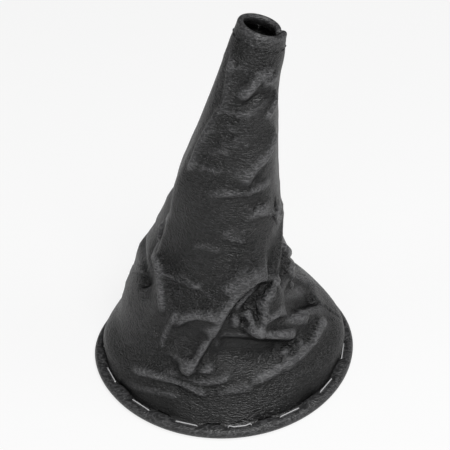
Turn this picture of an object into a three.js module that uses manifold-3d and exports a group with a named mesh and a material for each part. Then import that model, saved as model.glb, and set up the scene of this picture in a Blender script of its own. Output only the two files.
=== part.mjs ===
// Gear lever gaiter: the soft leather boot that closes the hole in a car's console round the gear lever.
// One hide is cut as a fan and sewn down one seam into a leaning cone. Its top edge is turned in as a hem
// round the lever. Its bottom edge is wrapped round a hidden hoop and stapled back to itself.
// Millimetres, +Z up. The middle of the hoop is over the origin, and the gaiter stands on z = 0.
// Azimuths are in degrees about +Z: 0 is the right (+X), -90 the front (-Y), 90 the back.

import * as THREE from 'three';
import { mergeVertices } from 'three/addons/utils/BufferGeometryUtils.js';
import Module from 'manifold-3d';

// Hide
const hideThickness = 1.0;
const pieceClearance = 0.3;
const layerGap = 0.3;

// Base: the hoop in the rolled edge, and the flap of hide under it
const hoopRadius = 65.85;
const hoopRodDiameter = 1.8;
const hoopPlay = 0.65;
const flapTail = 3.0;

// The hoop is soft, and stands out of round in two places at the back. Each dent: its middle's azimuth, its
// depth, and its spread in degrees.
const hoopDents = [
  { azimuth: 157, depth: 6.3, spread: 22 },
  { azimuth: 30, depth: 3.4, spread: 21 },
];
const dentFade = 0.2;

// Wire staples
const stapleCount = 15;
const firstStapleAzimuth = -155;
const stapleCrown = 12.0;
const stapleWire = 0.6;
const stapleClinch = 3.4;
const stapleMargin = 1.45;
const bentStaple = 3;
const bentShoulderRise = 1.0;
const bentShoulderRun = 2.2;

// Rolled edge between two staples, where nothing pins it down
const puffRise = 0.6;
const puffReach = 1.9;

// Neck: its lip's middle, its outside, its lean and its hem
const neckX = 19.0;
const neckY = 4.0;
const neckHeight = 190.5;
const neckOuterRadius = 11.0;
const neckTiltX = 18;
const neckTiltY = 5;
const lipRollRadius = 0.95;
const hemLength = 7.0;

// Seam: one line down the right side, with its allowance standing inwards
const seamAzimuth = 1;
const seamHalfWidth = 1.0;
const seamGroove = 0.5;
const seamAllowance = 4.0;

// Levels worked out from the sizes above
const half = hideThickness / 2;
const underMiddle = pieceClearance * 2 + stapleWire + half;
const upperMiddle = underMiddle + hideThickness + layerGap;
const wrapRadius = hoopRodDiameter / 2 + hoopPlay + half;
const hoopLevel = wrapRadius + half;
const crownLevel = upperMiddle + half + pieceClearance + stapleWire / 2;
const clinchLevel = pieceClearance + stapleWire / 2;
const legRadius = hoopRadius - hoopRodDiameter / 2 - stapleMargin;
const legReach = stapleCrown / 2 - stapleWire / 2;
const footRadius = legRadius - 1.5;
const neckRadius = neckOuterRadius - half;
const topLevel = neckHeight - lipRollRadius;
const rise = topLevel - upperMiddle;
const hemShare = hemLength / rise;
const lipShare = lipRollRadius * 2 / rise;

const radians = THREE.MathUtils.degToRad;
const degrees = THREE.MathUtils.radToDeg;
const staplePitch = 360 / stapleCount;
const pinchAngle = degrees(Math.asin((stapleCrown / 2 + stapleWire) / legRadius));
const puffAngle = pinchAngle + (staplePitch / 2 - pinchAngle) * 0.66;

// The cone without its folds. Each station: share of the rise, the axis's share of the neck's offset in
// x and y, and how much of the way from the neck's radius to the foot's the right, left, front and back
// stand out.
const stations = [
  [0.00, 0.00, 0.00, 1.000, 1.000, 1.000, 1.000],
  [0.05, 0.01, 0.00, 1.010, 1.015, 0.845, 0.985],
  [0.11, 0.02, 0.00, 0.800, 0.860, 0.715, 0.830],
  [0.20, 0.01, 0.00, 0.500, 0.735, 0.625, 0.700],
  [0.285, -0.02, -0.2, 0.460, 0.585, 0.560, 0.710],
  [0.38, -0.02, -0.2, 0.350, 0.400, 0.465, 0.530],
  [0.48, 0.08, -0.1, 0.325, 0.290, 0.380, 0.420],
  [0.59, 0.23, 0.0, 0.235, 0.240, 0.300, 0.320],
  [0.71, 0.43, 0.3, 0.150, 0.145, 0.215, 0.225],
  [0.85, 0.69, 0.6, 0.065, 0.065, 0.110, 0.110],
  [0.94, 0.87, 0.85, 0.032, 0.030, 0.045, 0.045],
  [1.00, 1.00, 1.0, 0.000, 0.000, 0.000, 0.000],
];
const tiltStart = 0.31;

// Folds, each along a path of [azimuth, share of the rise]. lift is how far its crest stands out of the
// cone (less than nothing for a hollow), left and right are its widths on the two sides of its path, and
// lean carries the crest over to the right of the path.
const folds = [
  // Packing creases, where the gaiter lay flat
  { path: [[-136, 0.9], [-137, 0.79], [-146, 0.7], [-152, 0.62], [-160, 0.52], [-163, 0.46], [-160, 0.4],
    [-149, 0.35], [-137, 0.29], [-131, 0.24], [-126, 0.19]], lift: 2.8, left: 6, right: 6, lean: -0.5 },
  { path: [[178, 0.56], [-177, 0.46], [-170, 0.38], [-158, 0.31], [-146, 0.25]],
    lift: -3.4, left: 6, right: 6, lean: 0 },
  { path: [[30, 0.86], [24, 0.74], [22, 0.62], [26, 0.52], [34, 0.44]], lift: 1.6, left: 5, right: 5, lean: 0 },
  // The tube's edge over the lobe on the right
  { path: [[4, 0.5], [-4, 0.43], [-22, 0.385], [-38, 0.345], [-50, 0.305], [-60, 0.27]],
    lift: 4.6, left: 9, right: 4, lean: 1.5 },
  { path: [[20, 0.46], [8, 0.4], [-8, 0.345], [-24, 0.305], [-40, 0.28]],
    lift: -8, left: 6, right: 8, lean: 0 },
  // The buckle at the front: its lip, its pocket and the shelf and lower lip inside it
  { path: [[-34, 0.375], [-45, 0.355], [-54, 0.347], [-64, 0.33], [-75, 0.306], [-83, 0.282], [-90, 0.245],
    [-97, 0.215], [-104, 0.185], [-109, 0.163]], lift: 5.2, left: 10, right: 4, lean: 2 },
  { path: [[-42, 0.315], [-56, 0.312], [-67, 0.3], [-75, 0.28], [-82, 0.25], [-89, 0.217], [-96, 0.19],
    [-101, 0.17]], lift: -10, left: 5, right: 6, lean: 0 },
  { path: [[-68, 0.258], [-58, 0.252], [-46, 0.236], [-34, 0.212], [-22, 0.185]],
    lift: 5, left: 5, right: 4, lean: 0 },
  { path: [[-60, 0.287], [-50, 0.268], [-40, 0.25], [-28, 0.22], [-12, 0.175]],
    lift: -4.5, left: 3.5, right: 3.5, lean: 0 },
  { path: [[-80, 0.262], [-70, 0.25], [-62, 0.232], [-54, 0.215], [-46, 0.195], [-40, 0.18]],
    lift: 4, left: 3.5, right: 3.5, lean: 1.5 },
  { path: [[-94, 0.225], [-82, 0.22], [-68, 0.198], [-56, 0.178], [-46, 0.165]],
    lift: -5.5, left: 4, right: 7, lean: 0 },
  { path: [[-102, 0.165], [-88, 0.17], [-70, 0.155], [-52, 0.135]], lift: -4, left: 9, right: 10, lean: 0 },
  { path: [[-120, 0.255], [-115, 0.28], [-107, 0.3], [-97, 0.298], [-88, 0.285]],
    lift: 2.4, left: 3.5, right: 3.5, lean: 1 },
  { path: [[-113, 0.245], [-106, 0.264], [-98, 0.268], [-91, 0.26]], lift: -4, left: 4, right: 5, lean: 0 },
  { path: [[-113, 0.16], [-106, 0.152], [-97, 0.145]], lift: 3, left: 4, right: 4, lean: 0 },
  // Wrinkles above the front staples
  { path: [[-139, 0.07], [-126, 0.095], [-116, 0.105], [-107, 0.098], [-98, 0.082]],
    lift: 1.8, left: 3.5, right: 3, lean: 0.8 },
  { path: [[-117, 0.133], [-108, 0.13], [-99, 0.121], [-88, 0.126]], lift: 1.8, left: 3.5, right: 3, lean: 0.8 },
  // The back's own soft buckle
  { path: [[58, 0.56], [66, 0.47], [78, 0.4], [96, 0.34], [118, 0.29], [134, 0.25]],
    lift: 3.6, left: 6, right: 8, lean: -1.5 },
  { path: [[76, 0.36], [90, 0.31], [108, 0.26], [126, 0.22]], lift: -5, left: 7, right: 6, lean: 0 },
  { path: [[48, 0.24], [70, 0.22], [94, 0.19], [116, 0.15]], lift: 3.2, left: 6, right: 6, lean: 0 },
  { path: [[150, 0.5], [146, 0.4], [150, 0.3], [158, 0.2]], lift: 2.4, left: 7, right: 7, lean: 0 },
];
const foldEnds = 0.22;
const foldRound = 1.0;
const foldPower = 1.6;
const foldFade = 0.05;
const foldSteps = 4;
const easing = 0.2;
const buckleAzimuth = -72;
const buckleSpread = 100;

const ramp = (x) => THREE.MathUtils.smoothstep(x, 0, 1);

/** How far in the hoop stands at an azimuth, because of its dents. */
function dentAt(azimuth) {
  return hoopDents.reduce((sum, dent) => {
    const away = THREE.MathUtils.euclideanModulo(azimuth - dent.azimuth + 180, 360) - 180;
    return sum + dent.depth * Math.exp(-((away / dent.spread) ** 2));
  }, 0);
}

/** A station's values at a share of the rise, by cubic pieces whose slopes come from the neighbours. */
function stationAt(share) {
  const last = stations.length - 1;
  let k = 0;
  while (k < last - 1 && share > stations[k + 1][0]) k += 1;
  const slope = (i, column) => {
    const a = stations[Math.max(i - 1, 0)];
    const b = stations[Math.min(i + 1, last)];
    return (b[column] - a[column]) / (b[0] - a[0]);
  };
  const [from, to] = [stations[k], stations[k + 1]];
  const span = to[0] - from[0];
  const t = (share - from[0]) / span;
  return from.map((value, column) => {
    const start = (1 + 2 * t) * (1 - t) ** 2 * value + t * (1 - t) ** 2 * span * slope(k, column);
    return start + t * t * (3 - 2 * t) * to[column] + t * t * (t - 1) * span * slope(k + 1, column);
  });
}

/** Point of the cone: four quarter ellipses about an axis that leans, tipped towards the neck's tilt. */
function conePoint(azimuth, share) {
  const [, leanX, leanY, ...outs] = stationAt(share);
  const [right, left, front, back] = outs.map((out) => neckRadius + (footRadius - neckRadius) * out);
  const angle = radians(azimuth);
  const [c, s] = [Math.cos(angle), Math.sin(angle)];
  const round = 1 / Math.hypot(c / (c >= 0 ? right : left), s / (s >= 0 ? back : front));
  const radius = round - dentAt(azimuth) * ramp(1 - share / dentFade);
  const tipped = ramp((share - tiltStart) / (1 - tiltStart));
  const [tiltX, tiltY] = [radians(neckTiltX) * tipped, radians(neckTiltY) * tipped];
  return new THREE.Vector3(
    neckX * leanX + radius * c * Math.cos(tiltX),
    neckY * leanY + radius * s * Math.cos(tiltY),
    upperMiddle + rise * share - radius * c * Math.sin(tiltX) - radius * s * Math.sin(tiltY),
  );
}

/** Outward unit normal of the cone. */
function coneNormal(azimuth, share) {
  const step = 0.002;
  const [low, high] = [Math.max(share - step, 0), Math.min(share + step, 1)];
  const around = conePoint(azimuth + 0.5, share).sub(conePoint(azimuth - 0.5, share));
  const up = conePoint(azimuth, high).sub(conePoint(azimuth, low));
  return around.cross(up).normalize();
}

for (const fold of folds) {
  const course = new THREE.SplineCurve(fold.path.map(([azimuth, share]) => {
    const turned = azimuth < fold.path[0][0] - 180 ? azimuth + 360 : azimuth;
    return new THREE.Vector2(turned, share);
  }));
  fold.course = course.getPoints(foldSteps * (fold.path.length - 1)).map((p) => conePoint(p.x, p.y));
}

/** How far all the folds together move a point of the cone. */
function foldOffset(point, normal, share) {
  const offset = new THREE.Vector3();
  for (const fold of folds) {
    let nearest = Infinity;
    let along = 0;
    let rightward = null;
    let toRight = false;
    for (let i = 0; i < fold.course.length - 1; i += 1) {
      const run = fold.course[i + 1].clone().sub(fold.course[i]);
      const away = point.clone().sub(fold.course[i]);
      const t = THREE.MathUtils.clamp(away.dot(run) / run.lengthSq(), 0, 1);
      away.addScaledVector(run, -t);
      if (away.length() < nearest) {
        nearest = away.length();
        along = (i + t) / (fold.course.length - 1);
        rightward = run.normalize().cross(normal);
        toRight = away.dot(rightward) > 0;
      }
    }
    const distance = Math.hypot(nearest, foldRound) - foldRound;
    const width = toRight ? fold.right : fold.left;
    const ends = ramp(along / foldEnds) * ramp((1 - along) / foldEnds);
    const height = Math.exp(-((distance / width) ** foldPower)) * ends;
    offset.addScaledVector(normal, fold.lift * height).addScaledVector(rightward, fold.lean * height);
  }
  return offset.multiplyScalar(ramp(share / foldFade) * ramp((1 - hemShare - share) / foldFade));
}

/** How free the rolled edge is here: 0 under a staple's crown, 1 midway between two staples. */
function puffAt(azimuth) {
  const turns = (azimuth - firstStapleAzimuth) / staplePitch;
  const aside = Math.abs(turns - Math.round(turns)) * staplePitch;
  return ramp((aside - pinchAngle) / (puffAngle - pinchAngle));
}

/** Middle of the hide in the cone's wall, before its folds: the cone, drawn in a little between staples. */
function wallPoint(azimuth, share) {
  const free = puffAt(azimuth) * ramp(1 - share / foldFade);
  const angle = radians(azimuth);
  const inward = -puffReach * 0.7 * free;
  const drawn = new THREE.Vector3(Math.cos(angle) * inward, Math.sin(angle) * inward, puffRise * free);
  return conePoint(azimuth, share).add(drawn);
}

/** The folds' offsets on the wall's rows, each averaged with its neighbours, as stiff hide eases a fold. */
function easedOffsets(shares, azimuths) {
  const offsets = shares.map((share, j) => azimuths[j].map((azimuth) => (
    foldOffset(conePoint(azimuth, share), coneNormal(azimuth, share), share))));
  const average = (a, b, c) => a.clone().add(c).multiplyScalar(easing).addScaledVector(b, 1 - 2 * easing);
  const last = shares.length - 1;
  const around = offsets.map((ring) => ring.map((offset, i) => (
    average(ring.at(i - 1), offset, ring[(i + 1) % ring.length]))));
  return around.map((ring, j) => ring.map((offset, i) => (
    average(around[Math.max(j - 1, 0)][i], offset, around[Math.min(j + 1, last)][i]))));
}

// Columns of the hide's mesh, closest together below the buckle and widest at the back. The seam takes the
// place of the columns beside it with three of its own, for its line and its two sides.
const columnOffsets = {
  buckle: [-puffAngle, -pinchAngle, -pinchAngle / 3, pinchAngle / 3, pinchAngle, puffAngle],
  front: [-pinchAngle, 0, pinchAngle, staplePitch / 2],
  back: [-pinchAngle, pinchAngle, staplePitch / 2],
};
const columns = [];
for (let k = 0; k < stapleCount; k += 1) {
  const middle = firstStapleAzimuth + staplePitch * k;
  const fromBuckle = Math.abs(middle - buckleAzimuth);
  const stretch = fromBuckle < buckleSpread / 2 ? 'buckle' : (fromBuckle < buckleSpread ? 'front' : 'back');
  columns.push(...columnOffsets[stretch].map((offset) => middle + offset));
}

/** The columns' azimuths at a level of a given radius. */
function columnsAt(radius) {
  const side = degrees(seamHalfWidth / radius);
  const plain = columns.filter((azimuth) => Math.abs(azimuth - seamAzimuth) > staplePitch / 5);
  return [...plain, seamAzimuth - side, seamAzimuth, seamAzimuth + side].sort((one, other) => one - other);
}

// Rows of the hide's middle surface, from the flap's inner edge out round the hoop, up the wall, over the
// neck's lip and down the hem. Each gives its radius (for the seam's width) and its point at an azimuth;
// a row that has to lie flat gives its normal too.
const aroundHoop = (angle) => [
  hoopRadius + wrapRadius * Math.cos(radians(angle)),
  hoopLevel + wrapRadius * Math.sin(radians(angle)),
];
const ringRow = (radiusAt, levelAt, extra = {}) => ({
  radius: hoopRadius,
  point: (azimuth) => {
    const free = puffAt(azimuth);
    const [r, z] = [radiusAt(free) - dentAt(azimuth), levelAt(free)];
    return new THREE.Vector3(r * Math.cos(radians(azimuth)), r * Math.sin(radians(azimuth)), z);
  },
  ...extra,
});
const hoopInside = hoopRadius - hoopRodDiameter / 2 - hoopPlay;
const solePatch = 0.8;
const [sideRadius, sideLevel] = aroundHoop(-5);
const [shoulderRadius, shoulderLevel] = aroundHoop(48);
const [innerRadius, innerLevel] = aroundHoop(112);
const down = new THREE.Vector3(0, 0, -1);
const rimRows = [
  ringRow(() => legRadius - flapTail, () => underMiddle),
  ringRow(() => hoopInside - half, () => underMiddle),
  ringRow(() => hoopRadius - solePatch, () => half, { normal: down }),
  ringRow(() => hoopRadius + solePatch, () => half, { normal: down }),
  ringRow(() => sideRadius, () => sideLevel),
  ringRow(() => shoulderRadius, () => shoulderLevel),
  ringRow((free) => innerRadius - puffReach * 0.6 * free, (free) => innerLevel + puffRise * 0.8 * free),
  ringRow((free) => hoopInside - 0.3 - puffReach * free, (free) => upperMiddle + puffRise * free),
];

const wallShares = [0, 0.03, 0.06, 0.09, 0.115, 0.14, 0.16, 0.18, 0.2, 0.22, 0.24, 0.26, 0.28, 0.3, 0.32,
  0.34, 0.365, 0.4, 0.45, 0.52, 0.61, 0.72, 0.83, 1 - hemShare, 1 - lipShare];
const wallRows = wallShares.map((share) => ({
  radius: neckRadius + (footRadius - neckRadius) * stationAt(share)[3],
  share,
  point: (azimuth) => wallPoint(azimuth, share),
}));

// The lip rolls over about a circle inside the wall's top, and the hem hangs parallel to the wall
const hemInset = hideThickness + layerGap;
const lipPoint = (azimuth, angle) => {
  const normal = coneNormal(azimuth, 1);
  const up = conePoint(azimuth, 1).sub(conePoint(azimuth, 0.98)).normalize();
  const centre = conePoint(azimuth, 1).addScaledVector(normal, -lipRollRadius + layerGap / 2);
  return centre.addScaledVector(normal, lipRollRadius * Math.cos(radians(angle)))
    .addScaledVector(up, lipRollRadius * Math.sin(radians(angle)));
};
const lipRows = [20, 90, 160].map((angle) => ({
  radius: neckRadius,
  point: (azimuth) => lipPoint(azimuth, angle),
}));
const hemRows = [1 - lipShare, 1 - hemShare].map((share) => ({
  radius: neckRadius,
  point: (azimuth) => wallPoint(azimuth, share).addScaledVector(coneNormal(azimuth, share), -hemInset),
}));
const rows = [...rimRows, ...wallRows, ...lipRows, ...hemRows];

/** Closed geometry from rings of points: each ring closes on itself, and the last one joins the first. */
function closedRings(rings) {
  const count = rings[0].length;
  const positions = rings.flat().flatMap((p) => [p.x, p.y, p.z]);
  const indices = [];
  rings.forEach((ring, j) => {
    const next = (j + 1) % rings.length;
    for (let i = 0; i < count; i += 1) {
      const [a, b] = [j * count + i, j * count + (i + 1) % count];
      const [c, d] = [next * count + (i + 1) % count, next * count + i];
      indices.push(a, b, c, a, c, d);
    }
  });
  const geometry = new THREE.BufferGeometry();
  geometry.setAttribute('position', new THREE.Float32BufferAttribute(positions, 3));
  geometry.setIndex(indices);
  return geometry;
}

/** The hide: its outer face, then its inner face back again, one thickness apart. */
function hideGeometry() {
  const azimuths = rows.map((row) => columnsAt(row.radius));
  const middle = rows.map((row, j) => azimuths[j].map((azimuth) => row.point(azimuth)));
  const count = middle[0].length;
  const seamColumn = azimuths[0].indexOf(seamAzimuth);
  const firstWall = rimRows.length;
  easedOffsets(wallShares, azimuths.slice(firstWall, firstWall + wallShares.length))
    .forEach((ring, j) => ring.forEach((offset, i) => middle[firstWall + j][i].add(offset)));
  const outer = [];
  const inner = [];
  rows.forEach((row, j) => {
    const [below, above] = [middle[Math.max(j - 1, 0)], middle[Math.min(j + 1, rows.length - 1)]];
    const outerRing = [];
    const innerRing = [];
    for (let i = 0; i < count; i += 1) {
      const around = middle[j][(i + 1) % count].clone().sub(middle[j][(i + count - 1) % count]);
      const [to, from] = [above[i].clone().sub(middle[j][i]), middle[j][i].clone().sub(below[i])];
      const along = to.clone().normalize().add(from.clone().normalize());
      const normal = row.normal ?? around.cross(along).normalize();
      const turn = to.lengthSq() > 0 && from.lengthSq() > 0 ? to.angleTo(from) : 0;
      const reach = row.normal ? half : half / Math.max(Math.cos(turn / 2), 0.75);
      const share = row.share ?? 1;
      const onSeam = i === seamColumn;
      const groove = onSeam ? seamGroove * ramp(share / 0.1) * ramp((1 - share) / 0.03) : 0;
      const fin = onSeam ? seamAllowance * ramp((share - 0.03) / 0.05) * ramp((0.93 - share) / 0.1) : 0;
      const base = middle[j][i].clone().addScaledVector(normal, -groove);
      outerRing.push(base.clone().addScaledVector(normal, reach));
      innerRing.push(base.clone().addScaledVector(normal, -reach - fin));
    }
    outer.push(outerRing);
    inner.push(innerRing);
  });
  return closedRings([...outer, ...inner.reverse()]);
}

/** A round wire along a flat path in the local XZ plane, with its corners mitred. */
function wireGeometry(path, diameter, sides) {
  const points = path.map(([x, z]) => new THREE.Vector2(x, z));
  const last = points.length - 1;
  const rings = points.map((point, i) => {
    const from = points[i].clone().sub(points[Math.max(i - 1, 0)]).normalize();
    const to = points[Math.min(i + 1, last)].clone().sub(points[i]).normalize();
    const tangent = from.clone().add(to).normalize();
    const mitre = i > 0 && i < last ? 1 / tangent.dot(to) : 1;
    return Array.from({ length: sides }, (_, k) => {
      const angle = (k + 0.5) * 2 * Math.PI / sides;
      const across = Math.cos(angle) * mitre * diameter / 2;
      return new THREE.Vector3(point.x - tangent.y * across, -Math.sin(angle) * diameter / 2,
        point.y + tangent.x * across);
    });
  });
  const positions = rings.flat().flatMap((p) => [p.x, p.y, p.z]);
  const indices = [];
  for (let j = 0; j < last; j += 1) {
    for (let k = 0; k < sides; k += 1) {
      const [a, b] = [j * sides + k, j * sides + (k + 1) % sides];
      indices.push(a, b, a + sides, b, b + sides, a + sides);
    }
  }
  for (let k = 1; k < sides - 1; k += 1) {
    indices.push(0, k + 1, k);
    indices.push(last * sides, last * sides + k, last * sides + k + 1);
  }
  const geometry = new THREE.BufferGeometry();
  geometry.setAttribute('position', new THREE.Float32BufferAttribute(positions, 3));
  geometry.setIndex(indices);
  return geometry;
}

/** A staple's path from one clinched tip to the other. The bent one has its crown's shoulders turned up. */
function staplePath(bent) {
  const corner = stapleWire;
  const top = bent ? crownLevel + bentShoulderRise : crownLevel;
  const side = [
    [legReach - stapleClinch, clinchLevel],
    [legReach - corner, clinchLevel],
    [legReach, clinchLevel + corner],
    [legReach, top - corner],
    [legReach - corner, top],
  ];
  if (bent) side.push([legReach - corner - bentShoulderRun, crownLevel]);
  const otherSide = side.map(([x, z]) => [-x, z]).reverse();
  return [...side, ...otherSide];
}

const leather = new THREE.MeshStandardMaterial({ color: 0x2b2b2c, roughness: 0.55, metalness: 0 });
const zinc = new THREE.MeshStandardMaterial({ color: 0xc6c7c9, roughness: 0.3, metalness: 1 });
const nylon = new THREE.MeshStandardMaterial({ color: 0x1b1b1c, roughness: 0.5, metalness: 0 });

const gaiter = new THREE.Group();
const addPiece = (name, geometry, material) => {
  const mesh = new THREE.Mesh(geometry, material);
  mesh.name = name;
  gaiter.add(mesh);
  return mesh;
};

// Staples stand across the flap, their crowns along the rim
const legInset = Math.sqrt(legRadius ** 2 - legReach ** 2);
const wireSides = 6;
const holeTools = [];
for (let k = 0; k < stapleCount; k += 1) {
  const azimuth = firstStapleAzimuth + staplePitch * k;
  const angle = radians(azimuth);
  const inset = legInset - dentAt(azimuth);
  const swing = Math.atan2(dentAt(azimuth + 1) - dentAt(azimuth - 1), radians(2) * legRadius);
  const path = staplePath(k === bentStaple);
  const staple = addPiece(`staple_${String(k + 1).padStart(2, '0')}`,
    wireGeometry(path, stapleWire, wireSides), zinc);
  staple.position.set(inset * Math.cos(angle), inset * Math.sin(angle), 0);
  staple.rotation.z = angle + Math.PI / 2 + swing;
  staple.updateMatrix();
  for (const side of [-1, 1]) {
    const punch = new THREE.CylinderGeometry(1, 1, crownLevel * 2, 4);
    punch.scale(stapleWire / 2 + pieceClearance, 1, stapleWire / 2 + pieceClearance);
    punch.rotateX(Math.PI / 2);
    punch.translate(side * legReach, 0, 0);
    holeTools.push(punch.applyMatrix4(staple.matrix));
  }
}

// The legs' holes are punched through both layers of the hide
const wasm = await Module();
wasm.setup();

function solidFrom(geometry) {
  const bare = geometry.clone();
  bare.deleteAttribute('normal');
  bare.deleteAttribute('uv');
  const merged = mergeVertices(bare, 1e-4);
  return new wasm.Manifold(new wasm.Mesh({
    numProp: 3,
    vertProperties: new Float32Array(merged.attributes.position.array),
    triVerts: new Uint32Array(merged.index.array),
  }));
}

function geometryFrom(solid) {
  const mesh = solid.getMesh();
  const geometry = new THREE.BufferGeometry();
  geometry.setAttribute('position', new THREE.Float32BufferAttribute(mesh.vertProperties, 3));
  geometry.setIndex([...mesh.triVerts]);
  return geometry;
}

let hide = solidFrom(hideGeometry());
for (const punch of holeTools) hide = hide.subtract(solidFrom(punch));
addPiece('leather_skirt', geometryFrom(hide), leather);

// The hoop lies in the rolled edge: a round rod, bent to the rim's shape
const hoopSteps = 60;
const hoopSides = 6;
const hoopRings = Array.from({ length: hoopSteps }, (_, step) => {
  const azimuth = step * 360 / hoopSteps;
  return Array.from({ length: hoopSides }, (_, side) => {
    const angle = side * 2 * Math.PI / hoopSides;
    const radius = hoopRadius - dentAt(azimuth) + Math.cos(angle) * hoopRodDiameter / 2;
    return new THREE.Vector3(radius * Math.cos(radians(azimuth)), radius * Math.sin(radians(azimuth)),
      hoopLevel - Math.sin(angle) * hoopRodDiameter / 2);
  });
});
addPiece('base_hoop', closedRings(hoopRings), nylon);

export default gaiter;
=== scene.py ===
# A gear lever gaiter: the soft leather boot that closes the hole in a car's console round the gear lever.
# It stands on a white table, seen from the front and from above. Lengths are in metres, unless a name ends
# in _mm. Azimuths are in degrees, from +X towards +Y.

import math

import bpy
import numpy as np
from mathutils import Matrix


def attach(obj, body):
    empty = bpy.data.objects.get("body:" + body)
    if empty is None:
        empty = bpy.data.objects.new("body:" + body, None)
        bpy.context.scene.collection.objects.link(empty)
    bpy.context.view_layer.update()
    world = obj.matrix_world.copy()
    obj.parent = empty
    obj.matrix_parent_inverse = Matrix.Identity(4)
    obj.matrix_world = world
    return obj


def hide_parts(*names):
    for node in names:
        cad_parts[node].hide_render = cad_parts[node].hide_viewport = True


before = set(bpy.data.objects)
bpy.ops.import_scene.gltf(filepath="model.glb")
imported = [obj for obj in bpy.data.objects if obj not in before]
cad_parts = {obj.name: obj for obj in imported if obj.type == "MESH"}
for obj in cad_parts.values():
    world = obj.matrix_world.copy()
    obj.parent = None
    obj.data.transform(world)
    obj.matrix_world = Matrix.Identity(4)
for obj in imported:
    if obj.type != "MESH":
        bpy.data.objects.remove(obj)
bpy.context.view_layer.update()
MM = 0.001


# The camera
# A long lens, 40 degrees above the table and 700 mm from the middle of the base, held almost level. Its focal
# length is given in pixels of the picture.
camera_elevation = math.radians(40)
camera_roll = math.radians(-0.8)
camera_distance = 700 * MM
focal_pixels, picture_pixels, sensor_width = 1326, 450, 36
aim_right, aim_up = 1.0 * MM, 61.4 * MM

forward = np.array([0, math.cos(camera_elevation), -math.sin(camera_elevation)])
level = np.array([1.0, 0, 0])
upright = np.cross(level, forward)
camera_x = math.cos(camera_roll) * level + math.sin(camera_roll) * upright
camera_y = -math.sin(camera_roll) * level + math.cos(camera_roll) * upright
place = -camera_distance * forward + aim_right * camera_x + aim_up * camera_y
lens = bpy.data.cameras.new("camera")
lens.sensor_width = sensor_width
lens.lens = focal_pixels / picture_pixels * sensor_width
lens.clip_start = 0.01
camera = bpy.data.objects.new("camera", lens)
camera.matrix_world = Matrix([(camera_x[k], camera_y[k], -forward[k], place[k]) for k in range(3)]
                             + [(0, 0, 0, 1)])
bpy.context.scene.collection.objects.link(camera)
bpy.context.scene.camera = camera
bpy.context.scene.view_settings.view_transform = "Standard"


# The studio
# A white table that runs out of sight, a white room, and four soft lamps: a large one high over the front,
# one on each side that brings out the folds, and a weak one low in front that lights the rolled edge.
class Shader:
    """A socket of a material's nodes. Operators on it add Math nodes, and calc adds any other node."""

    def __init__(self, tree, socket=None):
        self.tree, self.socket = tree, socket

    def calc(self, kind, settings=None, out=0, **values):
        """Adds a node: its settings are set first, then its sockets by name, with _ for a space or by in_ and
        a number. Returns the output asked for."""
        node = self.tree.nodes.new(kind)
        for name, value in (settings or {}).items():
            setattr(node, name, value)
        for name, value in values.items():
            index = int(name[3:]) if name.startswith("in_") else name.replace("_", " ")
            target = node.inputs[index]
            if isinstance(value, Shader):
                self.tree.links.new(value.socket, target)
            else:
                target.default_value = value
        return Shader(self.tree, node.outputs[out])

    def _math(self, operation, a, b=0.0):
        return self.calc("ShaderNodeMath", {"operation": operation}, in_0=a, in_1=b)

    def __add__(self, other): return self._math("ADD", self, other)
    def __radd__(self, other): return self._math("ADD", other, self)
    def __sub__(self, other): return self._math("SUBTRACT", self, other)
    def __rsub__(self, other): return self._math("SUBTRACT", other, self)
    def __mul__(self, other): return self._math("MULTIPLY", self, other)
    def __rmul__(self, other): return self._math("MULTIPLY", other, self)
    def at_most(self, other): return self._math("MINIMUM", self, other)
    def at_least(self, other): return self._math("MAXIMUM", self, other)

    def ramp(self, low, high):
        """0 at low, 1 at high and smooth between them."""
        return self.calc("ShaderNodeMapRange", {"interpolation_type": "SMOOTHSTEP"}, Value=self,
                         From_Min=low, From_Max=high)


def new_material(name):
    """An empty material, its shader builder, and its output node."""
    material = bpy.data.materials.new(name)
    material.use_nodes = True
    material.node_tree.nodes.clear()
    output = material.node_tree.nodes.new("ShaderNodeOutputMaterial")
    return material, Shader(material.node_tree), output


table_level, table_size = 0.0, 1.6
white_paint, table_shine = (0.95, 0.95, 0.95, 1), 0.2
table_material, build, output = new_material("white_table")
seen = build.calc("ShaderNodeLightPath", out=0)
glossy = build.calc("ShaderNodeLightPath", out=3)
white = build.calc("ShaderNodeEmission", Color=(1, 1, 1, 1), Strength=1.0)
matt = build.calc("ShaderNodeBsdfDiffuse", Color=white_paint)
mixed = build.calc("ShaderNodeMixShader", in_0=seen * (1 - table_shine) + glossy * table_shine, in_1=matt,
                   in_2=white)
table_material.node_tree.links.new(mixed.socket, output.inputs["Surface"])
half_table = table_size / 2
table_mesh = bpy.data.meshes.new("table")
corners = ((-half_table, -half_table), (half_table, -half_table), (half_table, half_table),
           (-half_table, half_table))
table_mesh.from_pydata([(x, y, table_level) for x, y in corners], [], [(0, 1, 2, 3)])
table_mesh.materials.append(table_material)
table = bpy.data.objects.new("table", table_mesh)
bpy.context.scene.collection.objects.link(table)

room_light = 0.08
world = bpy.data.worlds.new("white_room")
world.use_nodes = True
world.node_tree.nodes.clear()
build = Shader(world.node_tree)
seen = build.calc("ShaderNodeLightPath", out=0)
room = build.calc("ShaderNodeBackground", Color=(1, 1, 1, 1), Strength=room_light)
backdrop = build.calc("ShaderNodeBackground", Color=(1, 1, 1, 1), Strength=1.0)
mixed = build.calc("ShaderNodeMixShader", in_0=seen, in_1=room, in_2=backdrop)
world_output = world.node_tree.nodes.new("ShaderNodeOutputWorld")
world.node_tree.links.new(mixed.socket, world_output.inputs["Surface"])
bpy.context.scene.world = world


lamp_target = (0, 0, 0.08)


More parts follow.
